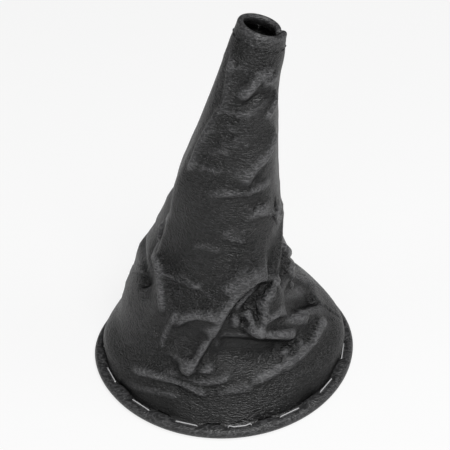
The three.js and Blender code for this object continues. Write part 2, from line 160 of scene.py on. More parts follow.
def add_lamp(name, position, width, depth, watts):
    """An oblong soft lamp at position, which faces the target and isn't straight above it."""
    light = bpy.data.lights.new(name, "AREA")
    light.shape = "RECTANGLE"
    light.size, light.size_y = width, depth
    light.energy = watts
    lamp = bpy.data.objects.new(name, light)
    back = np.subtract(position, lamp_target) / np.linalg.norm(np.subtract(position, lamp_target))
    side = np.cross([0, 0, 1.0], back)
    side /= np.linalg.norm(side)
    top = np.cross(back, side)
    lamp.matrix_world = Matrix([(side[k], top[k], back[k], position[k]) for k in range(3)] + [(0, 0, 0, 1)])
    bpy.context.scene.collection.objects.link(lamp)


add_lamp("top_lamp", (0.25, -0.45, 1.15), width=0.5, depth=0.7, watts=10)
add_lamp("right_lamp", (0.8, -0.1, 0.97), width=0.5, depth=0.5, watts=2.5)
add_lamp("left_lamp", (-0.8, -0.25, 0.93), width=0.5, depth=0.5, watts=1.5)
add_lamp("front_lamp", (-0.35, -1.0, 0.6), width=0.4, depth=0.4, watts=1.5)


# The leather skirt
# One hide, 1 mm thick, cut as a fan and sewn down the right side into a leaning cone. Its top edge is turned
# in round the lever's neck, and its bottom edge is wrapped round a hoop and stapled back to itself.
hide_mm = 1.0
hoop_radius_mm, wrap_radius_mm, hoop_level_mm = 65.85, 2.05, 2.55
under_middle_mm, upper_middle_mm = 1.7, 3.0
flap_radius_mm, foot_radius_mm = 60.5, 62.0
hoop_inside_mm, mean_radius_mm = 64.3, 38
first_staple, staple_pitch = -155.0, 24.0
pinch_angle, puff_angle = 5.97, 9.95
puff_rise_mm, puff_reach_mm = 0.6, 1.9
neck_x_mm, neck_y_mm, neck_radius_mm = 19.0, 4.0, 10.5
top_level_mm = 189.55
rise_mm = top_level_mm - upper_middle_mm
lip_radius_mm, hem_mm, hem_gap_mm = 0.95, 7.0, 1.3
hem_share, lip_share = hem_mm / rise_mm, lip_radius_mm * 2 / rise_mm
tilt_start, tilt_x, tilt_y = 0.31, math.radians(18), math.radians(5)
seam_azimuth, groove_depth_mm, groove_width_mm, seam_allowance_mm = 1.0, 0.5, 0.7, 4.0
lap_front_mm, lap_back_mm, lap_spread, lap_start, lap_full = 0.7, 1.5, 35, 0.9, 0.5

# The hoop is soft, and stands out of round in two places at the back: azimuth, depth in mm, spread in degrees
hoop_dents = [(157, 6.3, 22), (30, 3.4, 21)]
dent_fade = 0.2

# The cone without its folds: share of the rise, the axis's lean in x and y as a share of the neck's, and how
# far the right, left, front and back stand out between the neck's radius, 0, and the foot's, 1
stations = np.array([
    [0.00, 0.00, 0.00, 1.000, 1.000, 1.000, 1.000],
    [0.05, 0.01, 0.00, 1.010, 1.015, 0.845, 0.985],
    [0.11, 0.02, 0.00, 0.800, 0.860, 0.715, 0.830],
    [0.20, 0.01, 0.00, 0.500, 0.735, 0.625, 0.700],
    [0.285, -0.02, -0.2, 0.460, 0.585, 0.560, 0.710],
    [0.38, -0.02, -0.2, 0.350, 0.400, 0.465, 0.530],
    [0.48, 0.08, -0.1, 0.325, 0.290, 0.380, 0.420],
    [0.59, 0.23, 0.0, 0.235, 0.240, 0.300, 0.320],
    [0.71, 0.43, 0.3, 0.150, 0.145, 0.215, 0.225],
    [0.85, 0.69, 0.6, 0.065, 0.065, 0.110, 0.110],
    [0.94, 0.87, 0.85, 0.032, 0.030, 0.045, 0.045],
    [1.00, 1.00, 1.0, 0.000, 0.000, 0.000, 0.000],
])

# Folds: a path of azimuth and share of the rise, the lift of its crest in mm, its widths to the left and to
# the right, and how far the crest leans over to the right
folds = [
    # Packing creases, where the gaiter lay flat
    ([(-136, .9), (-137, .79), (-146, .7), (-152, .62), (-160, .52), (-163, .46), (-160, .4), (-149, .35),
      (-137, .29), (-131, .24), (-126, .19)], 2.8, 6, 6, -0.5),
    ([(178, .56), (183, .46), (190, .38), (202, .31), (214, .25)], -3.4, 6, 6, 0),
    ([(30, .86), (24, .74), (22, .62), (26, .52), (34, .44)], 1.6, 5, 5, 0),
    # The tube's edge over the lobe on the right
    ([(4, .5), (-4, .43), (-22, .385), (-38, .345), (-50, .305), (-60, .27)], 4.6, 9, 4, 1.5),
    ([(20, .46), (8, .4), (-8, .345), (-24, .305), (-40, .28)], -8, 6, 8, 0),
    # The back's own soft buckle
    ([(58, .56), (66, .47), (78, .4), (96, .34), (118, .29), (134, .25)], 3.6, 6, 8, -1.5),
    ([(76, .36), (90, .31), (108, .26), (126, .22)], -5, 7, 6, 0),
    ([(48, .24), (70, .22), (94, .19), (116, .15)], 3.2, 6, 6, 0),
    ([(150, .5), (146, .4), (150, .3), (158, .2)], 2.4, 7, 7, 0),
]

# Folds seen from the front: the places in the picture, in pixels, that their crests pass through, then lift,
# left, right and lean in mm as above
picture_folds = [
    # The buckle: its lip with the lower end, the slit under it, and the thin ridge inside the slit
    ([(182, 377), (188, 368), (197, 354), (207, 340), (216, 325), (223, 312.5), (232, 300.5), (244, 287.5),
      (258, 279.5), (266, 276.5), (273, 274.5)], 7.5, 8.0, 2.0, 1.6),
    ([(237, 306.5), (249, 291.5), (262, 283), (272, 279.5)], -4.2, 1.8, 3.6, 0),
    ([(230, 313), (240, 305), (252, 294.5), (262, 288.5), (271, 285.5)], 2.4, 1.2, 2.4, 0),
    # The bowl beside the lip's lower end, the arc above the bowl, and the tip of the V
    ([(193, 354), (196, 340), (204, 329), (215, 322)], -4.2, 4.5, 4.0, 0),
    ([(172, 329), (181, 320), (195, 314), (208, 312.5), (221, 314.5)], 3.2, 4.0, 1.6, 0.6),
    ([(178, 363), (187, 367), (201, 370.5), (220, 371.5)], 2.6, 3.0, 1.8, 0.4),
    # The tuft in the pocket
    ([(240, 312), (244, 322), (242, 332)], -2.4, 1.5, 1.5, 0),
    ([(232, 315), (236, 322), (236, 330)], 2.2, 1.8, 1.8, 0),
    ([(247, 313), (253, 322), (262, 332)], 3.2, 2.0, 2.4, 0),
    # The shelf, the dark line above it, the hollow below, the lower lip and its underside
    ([(260, 324), (275, 320.5), (290, 318), (303, 315), (315, 311)], 7.0, 4.4, 4.6, 0),
    ([(258, 307), (270, 312.5), (281, 314), (291, 310), (301, 307), (313, 303.5)], -4.0, 4.6, 2.2, 0),
    ([(244, 328.5), (255, 331.5), (265, 333.5), (276, 334.5), (291, 333.5), (304, 334.5)],
     5.6, 2.4, 1.8, 1.6),
    ([(216, 337), (238, 339), (262, 342), (280, 342), (294, 339)], -3.6, 2.4, 7.0, 0),
    ([(208, 354), (232, 353), (262, 354), (284, 351)], -2.8, 6.0, 8.0, 0),
    ([(306, 335), (298, 345), (288, 352), (277, 360)], 1.3, 1.4, 1.4, 0),
    ([(328, 316), (322, 327), (315, 340), (303, 353), (294, 361), (272, 374), (250, 385)], 2.2, 2.4, 2.4, 0),
    # Wrinkles between the buckle and the rim
    ([(160, 369), (177, 373), (190, 377.5), (205, 382), (219, 381.5), (236, 376)], 2.0, 3.0, 1.4, 0.5),
    ([(126, 369), (150, 374.5), (166, 379), (181, 383), (193, 389), (210, 397)], 2.4, 3.4, 1.3, 0.6),
    ([(118, 384), (140, 389), (160, 393), (182, 398)], 0.8, 2.4, 1.4, 0),
    ([(214, 392), (236, 391), (258, 386)], 0.9, 2.4, 1.4, 0),
    # The tube's edge, the hollow beside it, and the ridges of the lobe on the right
    ([(284, 238), (282, 252), (279, 268), (274.5, 285), (268, 301), (262, 313)], 2.4, 1.6, 4.0, 0),
    ([(288, 264), (286, 280), (281, 296), (275, 306)], -2.6, 4.5, 2.4, 0),
    ([(284, 238), (288, 248), (291, 259), (292.5, 272), (298, 287)], 2.4, 2.4, 1.4, 0),
    ([(291, 268), (300, 275), (309, 280.5), (318, 287)], 2.0, 2.0, 2.2, 0),
    # The packing crease on the left
    ([(232, 48), (229, 66), (226, 88), (224, 101), (217.5, 112), (209.5, 125), (198.5, 145), (191.5, 162),
      (186, 174)], 2.2, 2.6, 1.4, 0),
    ([(166, 210), (159, 224), (155.5, 236), (153.5, 250), (154, 264), (156.7, 277), (158.3, 292), (160, 318)],
     2.8, 2.2, 1.1, -0.4),
    ([(158, 218), (150, 234), (147.5, 250), (148.5, 268), (152, 290)], -2.4, 2.4, 4.0, 0),
    # Slanting folds on the right of the tube
    ([(283, 60), (270, 74), (257, 83), (247, 94), (237, 104)], 2.8, 1.4, 2.6, -0.6),
    ([(277, 88), (262, 91), (253, 97), (239, 108)], -1.6, 1.6, 1.4, 0),
    ([(281, 74), (271, 82), (263, 86.5)], 1.4, 1.2, 1.8, 0),
    ([(280, 88), (276, 104), (271, 115), (267, 121)], 1.8, 1.4, 1.6, 0),
    ([(280, 124), (275, 143), (268, 157), (258, 168), (249, 180), (245, 192)], 3.0, 2.0, 5.0, -0.4),
    ([(203, 196), (228, 195), (246, 194.5), (256, 191.5), (264, 187), (273, 181)], 1.6, 2.4, 0.9, 0),
    ([(254, 214), (266, 214.5), (274, 213), (283, 207)], 1.8, 3.2, 0.9, 0),
    ([(240, 220), (252, 217), (263, 208), (276, 201)], 1.2, 3.5, 2.5, 0),
    ([(262, 236), (250, 252), (240, 266), (230, 281), (222, 291)], 1.4, 6.0, 2.5, 0),
    # Small wrinkles of the tube
    ([(219, 236), (233, 240), (249, 242)], 1.1, 2.2, 0.7, 0),
    ([(222, 232), (236, 232), (251, 228)], 0.7, 1.7, 0.7, 0),
    ([(190, 250), (203, 246.5), (213, 250), (231, 251)], 0.7, 1.5, 0.7, 0),
    ([(156, 263), (165, 275), (175, 279), (183, 283), (194, 287), (204, 282)], 0.9, 1.4, 0.8, 0),
    ([(172, 270), (185, 278), (197, 286.5), (210, 293), (219, 298)], 0.7, 1.4, 0.8, 0),
    ([(236, 202), (245, 206), (254, 210.5)], 0.7, 1.0, 0.7, 0),
    ([(206, 132), (222, 131), (240, 129)], 0.6, 1.2, 0.7, 0),
    ([(222, 109), (232, 113), (242, 117)], 0.7, 1.1, 0.7, 0),
    ([(221, 120), (229, 126), (237, 132)], 0.7, 1.1, 0.7, 0),
    ([(235, 114), (243, 115), (252, 117)], 0.7, 1.1, 0.7, 0),
    ([(215, 140), (228, 144), (241, 149)], 0.7, 1.2, 0.7, 0),
    ([(230, 139), (240, 142), (252, 148)], 0.7, 1.2, 0.7, 0),
    ([(205, 157), (214, 153.5), (224, 153), (233, 156)], 0.9, 1.9, 0.8, 0),
    ([(196, 173), (205, 168), (214, 171), (223, 174)], 0.9, 1.9, 0.8, 0),
    ([(229, 70), (243, 69), (256, 72), (263, 70)], 0.6, 1.2, 0.7, 0),
    ([(255, 58), (268, 60), (281, 55)], 1.0, 1.9, 0.8, 0),
    # The faint crease at the lower left
    ([(179, 306), (171, 322), (165, 335), (159, 350)], 1.6, 1.6, 1.4, 0),
]

# How a fold fades at its two ends, as shares of its course or in mm, and how wide its crest is
fold_ends, fold_blunt_mm = 0.22, 1.0
picture_ends, picture_fade_mm, picture_blunt_mm = 0.3, 7.0, 0.35
fold_power, fold_fade, fold_steps, fold_reach = 1.6, 0.05, 6, 3.2

# Places in the picture where the hide is crumpled, their size in pixels, and how strongly
crumpled_places = [(258, 255, 22, 1.0), (238, 280, 18, 1.0), (218, 300, 14, 0.7), (232, 122, 18, 0.9),
                   (208, 160, 16, 0.8), (262, 176, 14, 1.0), (268, 205, 12, 0.8), (272, 62, 12, 0.9),
                   (240, 236, 16, 0.6), (246, 322, 14, 0.5), (125, 290, 34, 0.9), (150, 330, 34, 0.8),
                   (118, 250, 30, 0.6), (180, 285, 22, 0.6), (306, 280, 18, 1.0), (300, 318, 12, 0.3),
                   (200, 378, 30, 0.5), (255, 350, 26, -0.5), (255, 90, 30, -0.2), (225, 55, 18, 0.5)]
pixels_per_mm = 1.9
plain_crumple, patch_crumple, patch_mm, patch_seed = 0.2, 0.3, 22, 21
least_crumple, most_crumple = 0.05, 1.5

# Crinkles: size in mm, how many times longer than wide, slant, height in mm, and the noise's seed
crinkles = [(9.0, 1.9, 0.5, 0.45, 11), (4.5, 2.2, -0.5, 0.22, 12), (2.4, 2.2, 0.4, 0.12, 13)]
crinkle_power, crinkle_foot, crinkle_neck, crinkle_seam = 0.7, 0.1, 0.03, 8


def smooth(x):
    """Smoothstep: 0 below 0, 1 above 1, and 3 x squared - 2 x cubed between."""
    x = np.clip(x, 0, 1)
    return x * x * (3 - 2 * x)


def unit(vectors):
    """Vectors over their own lengths."""
    return vectors / np.maximum(np.linalg.norm(vectors, axis=-1, keepdims=True), 1e-12)


def turn_from(middle, azimuth):
    """The angle from a middle azimuth round to another, from -180 to 180."""
    return (azimuth - middle + 180) % 360 - 180


def dent(azimuth):
    """How far in the hoop stands: for each dent, its depth times exp(-(angle away / spread) squared)."""
    return sum(depth * np.exp(-(turn_from(middle, azimuth) / spread) ** 2)
               for middle, depth, spread in hoop_dents)


def puff(azimuth):
    """How free the rolled edge is: 0 under a staple, 1 midway between two."""
    turns = (azimuth - first_staple) / staple_pitch
    aside = np.abs(turns - np.round(turns)) * staple_pitch
    return smooth((aside - pinch_angle) / (puff_angle - pinch_angle))


def station_at(share):
    """A station's values at shares of the rise: cubic pieces with slopes from the neighbouring stations."""
    s, v = stations[:, 0], stations[:, 1:]
    k = np.clip(np.searchsorted(s, share, side="right") - 1, 0, len(s) - 2)
    before, after = np.maximum(np.arange(len(s)) - 1, 0), np.minimum(np.arange(len(s)) + 1, len(s) - 1)
    slope = (v[after] - v[before]) / (s[after] - s[before])[:, None]
    span = (s[k + 1] - s[k])[..., None]
    t = ((share - s[k])[..., None]) / span
    return ((1 + 2 * t) * (1 - t) ** 2 * v[k] + t * (1 - t) ** 2 * span * slope[k]
            + t * t * (3 - 2 * t) * v[k + 1] + t * t * (t - 1) * span * slope[k + 1])


def cone(azimuth, share):
    """Point of the cone in mm: four quarter ellipses about a leaning axis, tipped towards the neck's tilt."""
    lean_x, lean_y, *outs = np.moveaxis(station_at(share), -1, 0)
    right, left, front, back = [neck_radius_mm + (foot_radius_mm - neck_radius_mm) * out for out in outs]
    c, s = np.cos(np.radians(azimuth)), np.sin(np.radians(azimuth))
    radius = 1 / np.hypot(c / np.where(c >= 0, right, left), s / np.where(s >= 0, back, front))
    radius = radius - dent(azimuth) * smooth(1 - share / dent_fade)
    tipped = smooth((share - tilt_start) / (1 - tilt_start))
    return np.stack([
        neck_x_mm * lean_x + radius * c * np.cos(tilt_x * tipped),
        neck_y_mm * lean_y + radius * s * np.cos(tilt_y * tipped),
        upper_middle_mm + rise_mm * share - radius * c * np.sin(tilt_x * tipped)
        - radius * s * np.sin(tilt_y * tipped)], -1)


def overlap(azimuth, share):
    """How far the hide stands out at the seam's top, where its front end laps over its back end, in mm."""
    away = turn_from(seam_azimuth, azimuth)
    front = (away < 0) * lap_front_mm * np.exp(-(away / lap_spread) ** 2)
    back = (away >= 0) * lap_back_mm * np.exp(-(away / lap_spread) ** 2)
    return (front - back) * smooth((share - lap_start) / (1 - lap_start) / lap_full)


def cone_normal(azimuth, share, half_degree=0.5, small_share=0.002):
    """Outward unit normal of the cone, from its slopes round and up over small steps."""
    around = cone(azimuth + half_degree, share) - cone(azimuth - half_degree, share)
    up = cone(azimuth, np.minimum(share + small_share, 1)) - cone(azimuth, np.maximum(share - small_share, 0))
    return unit(np.cross(around, up))


def spline(points, steps):
    """A Catmull-Rom curve through points: each stretch is a cubic of its four neighbours, in equal steps."""
    p = np.array(points, float)
    p = np.vstack([p[:1], p, p[-1:]])
    t = np.linspace(0, 1, steps, endpoint=False)[None, :, None]
    a, b, c, d = p[:-3, None], p[1:-2, None], p[2:-1, None], p[3:, None]
    bend, twist = 2 * a - 5 * b + 4 * c - d, 3 * b - a - 3 * c + d
    curve = (2 * b + (c - a) * t + bend * t ** 2 + twist * t ** 3) / 2
    return np.vstack([curve.reshape(-1, 2), p[-1:]])


def raise_fold(total, point, normal, course, lift, left, right, lean, ends, blunt_mm):
    """Adds one fold to total. It lifts a point along its normal and pushes it sideways by the lean, both
    times exp(-(distance from the course / width) to the fold_power), and fades at its two ends. Its crest is
    blunt_mm wide."""
    reach = fold_reach * max(left, right)
    inside = ((point > course.min(0) - reach) & (point < course.max(0) + reach)).all(-1)
    here, facing = point[inside], normal[inside]
    run = np.diff(course, axis=0)
    near = np.full(len(here), np.inf)
    along, toward, to_right = np.zeros(len(here)), np.zeros_like(here), np.zeros(len(here), bool)
    for k in range(len(run)):
        away = here - course[k]
        t = np.clip(away @ run[k] / (run[k] @ run[k]), 0, 1)
        away = away - t[:, None] * run[k]
        distance = np.linalg.norm(away, axis=-1)
        rightward = np.cross(unit(run[k]), facing)
        closer = distance < near
        near = np.where(closer, distance, near)
        along = np.where(closer, (k + t) / len(run), along)
        toward = np.where(closer[:, None], rightward, toward)
        to_right = np.where(closer, (away * rightward).sum(-1) > 0, to_right)
    distance = np.hypot(near, blunt_mm) - blunt_mm
    fade = smooth(along / ends) * smooth((1 - along) / ends)
    height = (np.exp(-(distance / np.where(to_right, right, left)) ** fold_power) * fade)[:, None]
    total[inside] += facing * lift * height + toward * lean * height


def lattice_noise(x, y, seed, cells=256):
    """Smooth random heights from -1 to 1 over a plane: random corners of cells, blended by smoothstep."""
    heights = np.random.default_rng(seed).uniform(-1, 1, (cells, cells))
    i, j = np.floor(x).astype(int), np.floor(y).astype(int)
    u, v = smooth(x - i), smooth(y - j)
    i_here, i_next, j_here, j_next = i % cells, (i + 1) % cells, j % cells, (j + 1) % cells
    low = heights[i_here, j_here] * (1 - u) + heights[i_next, j_here] * u
    high = heights[i_here, j_next] * (1 - u) + heights[i_next, j_next] * u
    return low * (1 - v) + high * v


# The rows run from the flap's inner edge under the rim, round the hoop, up the wall, over the lip and down
# the hem. The columns are closest together at the front, where the folds are.
column_count, crowd_samples = 400, 1441
crowd_middle, crowd_spread, crowd_extra = -85, 85, 1.5
turn_degrees = seam_azimuth + np.linspace(0, 360, crowd_samples)
crowding = 1 + crowd_extra * np.exp(-(turn_from(crowd_middle, turn_degrees) / crowd_spread) ** 4)
crowded = np.concatenate([[0], np.cumsum((crowding[1:] + crowding[:-1]) / 2)])
columns = np.interp(np.linspace(0, 1, column_count, endpoint=False), crowded / crowded[-1], turn_degrees)

# The wall's rows: the shares that each stretch runs from and to, and its number of rows
row_stretches = [(0, 0.04, 8), (0.045, 0.38, 78), (0.386, 0.9, 70), (0.91, 1 - lip_share, 8)]
wall_shares = np.concatenate([np.linspace(low, high, rows) for low, high, rows in row_stretches])


def ring(radius, height):
    """A ring of the rim, its radius drawn in by the dents."""
    radius = radius - dent(columns)
    return np.stack([radius * np.cos(np.radians(columns)), radius * np.sin(np.radians(columns)),
                     np.broadcast_to(height, columns.shape)], -1)


# The rim: radius and height of the flap's rings under the hoop, the angles of the rings round the hoop, and
# then the rings inside it with the shares of the puff's reach and rise that each takes
flap_rings = [(flap_radius_mm, under_middle_mm), (61.8, under_middle_mm), (63.0, under_middle_mm),
              (64.0, under_middle_mm - 0.3), (64.8, 0.75), (65.4, 0.5), (66.3, 0.5)]
wrap_angles, wrap_puff_mm, wrap_puff_above = (-55, -35, -15, 5, 25, 45, 65, 85), 0.25, 45
inside_rings = [(hoop_radius_mm - 0.75, hoop_level_mm + 1.85, 0.55, 0.85),
                (hoop_inside_mm - 0.1, upper_middle_mm + 0.75, 0.9, 0.9),
                (hoop_inside_mm - 0.9, upper_middle_mm + 0.15, 0.95, 0.3)]
free = puff(columns)
rim = [ring(radius, height) for radius, height in flap_rings]
for angle in wrap_angles:
    raised_mm = wrap_puff_mm * free * (angle > wrap_puff_above)
    rim.append(ring(hoop_radius_mm + wrap_radius_mm * math.cos(math.radians(angle)),
                    hoop_level_mm + wrap_radius_mm * math.sin(math.radians(angle)) + raised_mm))
for radius, height, reach_share, rise_share in inside_rings:
    rim.append(ring(radius - puff_reach_mm * reach_share * free, height + puff_rise_mm * rise_share * free))
rim = np.array(rim)


def window_mean(heights, columns_wide, rows_high):
    """The mean of a grid of heights over so many columns and rows each way, by sums of shifted copies."""
    across = range(-columns_wide, columns_wide + 1)
    upward = range(-rows_high, rows_high + 1)
    mean = sum(np.roll(heights, k, 1) for k in across) / len(across)
    row = np.arange(len(heights))
    return sum(mean[np.clip(row + k, 0, len(heights) - 1)] for k in upward) / len(upward)


def grid_normal(points):
    """Outward unit normals of a grid of rings: the slope round crossed with the slope up."""
    around = np.roll(points, -1, 1) - np.roll(points, 1, 1)
    rows = np.concatenate([2 * points[:1] - points[1:2], points, 2 * points[-1:] - points[-2:-1]])
    return unit(np.cross(around, rows[2:] - rows[:-2]))


azimuths, shares = np.meshgrid(columns, wall_shares)
normals = cone_normal(azimuths, shares)
wall = cone(azimuths, shares) + normals * overlap(azimuths, shares)[..., None]
foot_puff, foot_puff_top, foot_puff_slope = 0.35, 0.05, -0.2
drawn_in = -puff_reach_mm * foot_puff * puff(azimuths) * smooth(1 - shares / foot_puff_top)
outward = np.stack([np.cos(np.radians(azimuths)), np.sin(np.radians(azimuths)),
                    np.full_like(shares, foot_puff_slope)], -1)
wall_middle = wall + outward * drawn_in[..., None]
fold_fades = (smooth(shares / fold_fade) * smooth((1 - hem_share - shares) / fold_fade))[..., None]
moved = np.zeros_like(wall)
for path, lift, left, right, lean in folds:
    course = spline(path, fold_steps)
    raise_fold(moved, wall, normals, cone(course[:, 0], course[:, 1]), lift, left, right, lean,
               fold_ends, fold_blunt_mm)
wall_middle += moved * fold_fades

# The picture's folds go on the wall with its main folds. A point of the wall is seen at the picture place
# focal length times its right and up distances from the camera over its depth.
folded_normals = grid_normal(wall_middle)
eye_mm, out_of_sight = place / MM, 1e3


def seen_at(picture_path, lift):
    """The points of the wall under a path in the picture, where a crest of that lift shows at the path: the
    average of the wall's points that face the camera, weighted by exp(-(pixels away) squared)."""
    sight = wall_middle + folded_normals * lift - eye_mm
    depth = sight @ forward
    across = picture_pixels / 2 + focal_pixels * (sight @ camera_x) / depth
    down = picture_pixels / 2 - focal_pixels * (sight @ camera_y) / depth
    turned_away = (folded_normals * sight).sum(-1) > 0
    found = []
    for x, y in spline(picture_path, fold_steps):
        pixels = np.hypot(across - x, down - y) + out_of_sight * turned_away
        weight = np.exp(-(pixels - pixels.min()) ** 2)[..., None]
        found.append((wall_middle * weight).sum((0, 1)) / weight.sum())
    return np.array(found)


creased = np.zeros_like(wall)
for path, lift, left, right, lean in picture_folds:
    course = seen_at(path, lift)
    length = np.linalg.norm(np.diff(course, axis=0), axis=1).sum()
    raise_fold(creased, wall_middle, folded_normals, course, lift, left, right, lean,
               min(picture_ends, picture_fade_mm / length), picture_blunt_mm)

# Crinkles: ridges of smooth noise, longer round the cone than up it, on lengths measured on the hide itself.
# They are strong where the hide is crumpled, and die away at the seam, where the pattern's two ends meet.
around_mm = np.radians(azimuths) * mean_radius_mm
up_mm = shares * rise_mm
crinkle = np.zeros_like(up_mm)
for size_mm, stretch, slant, height_mm, seed in crinkles:
    a = (around_mm + slant * up_mm) / (size_mm * stretch)
    b = (up_mm - slant * around_mm) / size_mm
    crinkle += height_mm * (0.5 - np.abs(lattice_noise(a, b, seed)) ** crinkle_power)
patches = lattice_noise(around_mm / patch_mm, up_mm / patch_mm, patch_seed)
crumple = plain_crumple + patch_crumple * smooth(0.5 + 0.9 * patches)
for x, y, size, strength in crumpled_places:
    centre = seen_at([(x, y), (x + 0.1, y)], 0)[0]
    away = np.linalg.norm(wall_middle - centre, axis=-1) / (size / pixels_per_mm)
    crumple += strength * np.exp(-away ** 2)
crumple = np.clip(crumple, least_crumple, most_crumple)
crinkle *= crumple * smooth(shares / crinkle_foot) * smooth((1 - hem_share * 0.8 - shares) / crinkle_neck)
crinkle *= smooth(np.abs(turn_from(seam_azimuth, azimuths)) / crinkle_seam)
creased = creased * fold_fades + folded_normals * crinkle[..., None]

# How far each point stands out of the hide round it: its height less the mean height within some 4 mm
window_columns, window_rows = 8, 5
crease_heights = (creased * folded_normals).sum(-1)
raised = crease_heights - window_mean(crease_heights, window_columns, window_rows)

# How deep the creases go near each point, so that the hide's inner face keeps behind them
sunk_reach = 4
sunk = np.minimum(crease_heights, 0)
for _ in range(sunk_reach):
    sunk = np.minimum.reduce([sunk, np.roll(sunk, 1, 1), np.roll(sunk, -1, 1),
                              np.vstack([sunk[:1], sunk[:-1]]), np.vstack([sunk[1:], sunk[-1:]])])

# The lip is a half round at the top of the wall, and the hem goes down inside it
lip_stand_mm, lip_angles, just_below_top = 0.15, (0, 30, 60, 90, 120, 150, 180), 0.98
at_top = np.ones_like(columns)
top, top_normal = cone(columns, at_top), cone_normal(columns, at_top)
top_up = unit(top - cone(columns, at_top * just_below_top))
lip_centre = top + top_normal * (overlap(columns, at_top) - lip_radius_mm + lip_stand_mm)[:, None]
lip = np.array([lip_centre + lip_radius_mm * (top_normal * math.cos(a) + top_up * math.sin(a))
                for a in np.radians(lip_angles)])
hem_shares = np.array([1 - lip_share, 1 - hem_share * 0.75, 1 - hem_share * 0.5, 1 - hem_share])
hem_azimuths, hem_rows = np.meshgrid(columns, hem_shares)
hem_in = overlap(hem_azimuths, hem_rows) - hem_gap_mm
hem = cone(hem_azimuths, hem_rows) + hem_in[..., None] * cone_normal(hem_azimuths, hem_rows)

# The seam: a groove outside, exp(-(distance / width) squared) deep, and the two turned-in edges inside
groove_foot, groove_neck = 0.1, 0.03
fin_foot, fin_foot_fade, fin_neck, fin_neck_fade = 0.03, 0.05, 0.93, 0.1
row_share = np.concatenate([np.zeros(len(rim)), wall_shares, np.ones(len(lip) + len(hem))])
seam_fade = smooth(row_share / groove_foot) * smooth((1 - row_share) / groove_neck)
seam_away = np.abs(turn_from(seam_azimuth, columns)) * np.pi / 180 * mean_radius_mm
groove = groove_depth_mm * seam_fade[:, None] * np.exp(-(seam_away / groove_width_mm) ** 2)
fin = seam_allowance_mm * (smooth((row_share - fin_foot) / fin_foot_fade)
                           * smooth((fin_neck - row_share) / fin_neck_fade))

# The outer face follows every crease. The inner one is plainer, and has fewer rows.
lining_step, wall_lining_step = 2, 4
first_wall, last_wall = len(rim), len(rim) + len(wall_shares)
middle = np.concatenate([rim, wall_middle + creased, lip, hem])
outer = middle + grid_normal(middle) * (hide_mm / 2 - groove)[..., None]
behind = np.concatenate([rim, wall_middle, lip, hem])
behind_normal = grid_normal(behind)
depth = np.zeros(behind.shape[:2])
depth[first_wall:last_wall] = sunk
inner = behind - behind_normal * (hide_mm / 2 + groove - depth)[..., None]
inner[:, 0] -= behind_normal[:, 0] * fin[:, None]
lining_rows = np.concatenate([
    np.arange(0, first_wall, lining_step), np.arange(first_wall, last_wall, wall_lining_step),
    np.arange(last_wall, len(middle) - 1, lining_step), [len(middle) - 1]])


def closed_mesh(name, rings):
    """A mesh of rings of points: each ring closes on itself, and the last one joins the first."""
    count, width = rings.shape[:2]
    index = np.arange(count * width).reshape(count, width)
    up, across = np.roll(index, -1, 0), np.roll(index, -1, 1)
    quads = np.stack([index, across, np.roll(up, -1, 1), up], -1).reshape(-1, 4)
    mesh = bpy.data.meshes.new(name)
    mesh.from_pydata((rings.reshape(-1, 3) * MM).tolist(), [], quads.tolist())
    mesh.polygons.foreach_set("use_smooth", np.ones(len(mesh.polygons), bool))
    mesh.update()
    made = bpy.data.objects.new(name, mesh)
    bpy.context.scene.collection.objects.link(made)
    return made


skirt = closed_mesh("leather_skirt_hide", np.concatenate([outer, inner[lining_rows][::-1]]))


def add_attribute(name, rows, lining):
    """Gives the skirt's points a number each: rows on the outer face and lining on the inner one."""
    values = np.concatenate([rows, lining]).ravel().astype(np.float32)
    skirt.data.attributes.new(name, "FLOAT", "POINT").data.foreach_set("value", values)


# crest says how far a point stands out, 1 at crest_full_mm, and crumple how crumpled the hide is there. A
# point that stands out is made lighter, partly wear and partly painted highlight, and one in a hollow darker,
# painted shade. The rim from rim_start on and the lip get an even painted highlight, the neck's top rows a
# weaker one, and the lining is worn evenly.
crest_full_mm, neck_highlight, lip_highlight, rim_highlight, lining_wear = 1.2, 0.15, 0.55, 0.4, 0.45
rim_start, neck_rows, even_crumple, grain_crumple, grain_foot = 4, 2, 0.1, 1.4, 0.1
crest_rows = np.zeros(middle.shape[:2])
crest_rows[first_wall:last_wall] = np.clip(raised / crest_full_mm, -1, 1)
# Painted highlight: the neck's top rows, the lip and the rim are lightened evenly
crest_rows[last_wall - neck_rows:last_wall] = neck_highlight
crest_rows[last_wall:last_wall + len(lip)] = lip_highlight
crest_rows[rim_start:len(rim)] = rim_highlight
add_attribute("crest", crest_rows, np.full((len(lining_rows), column_count), lining_wear))
crumple_rows = np.full(middle.shape[:2], even_crumple)
crumple_rows[first_wall:last_wall] = np.minimum(crumple, grain_crumple) * smooth(shares / grain_foot)
add_attribute("crumple", crumple_rows, crumple_rows[lining_rows][::-1])

# The leather: black, grey on crests and on the ridges of the fine creases, partly wear and partly painted
# highlight, and darker in the hollows, where the shade is painted
hide_grey, wear_and_highlight_grey, painted_hollow_shade, cold_tint = 0.003, 0.06, 0.6, 1.03
grain_depth, even_grain, pebble_grain, fine_grain = 0.6 * MM, 0.32, 0.03, 0.05
even_roughness, mottled_roughness, most_wear_and_highlight = 0.31, 0.06, 2.0
leather, build, output = new_material("black_leather")
position = build.calc("ShaderNodeTexCoord", out=3)
crumpled = build.calc("ShaderNodeAttribute", {"attribute_name": "crumple"}, out=2)
crest = build.calc("ShaderNodeAttribute", {"attribute_name": "crest"}, out=2)


def ridges(turn, stretch, scale, seed):
    """Sharp crests of ridged noise, longer round the cone than up it, and slanted by a turn about Y."""
    laid = build.calc("ShaderNodeMapping", Vector=position, Rotation=(0, turn, 0), Location=(seed, 0, 0),
                      Scale=(1, 1.8, stretch))
    return build.calc("ShaderNodeTexNoise", {"noise_dimensions": "3D", "noise_type": "RIDGED_MULTIFRACTAL"},
                      Vector=laid, Scale=scale, Detail=2.0, Roughness=0.5, Lacunarity=2.1, Offset=0.9,
                      Gain=1.6)


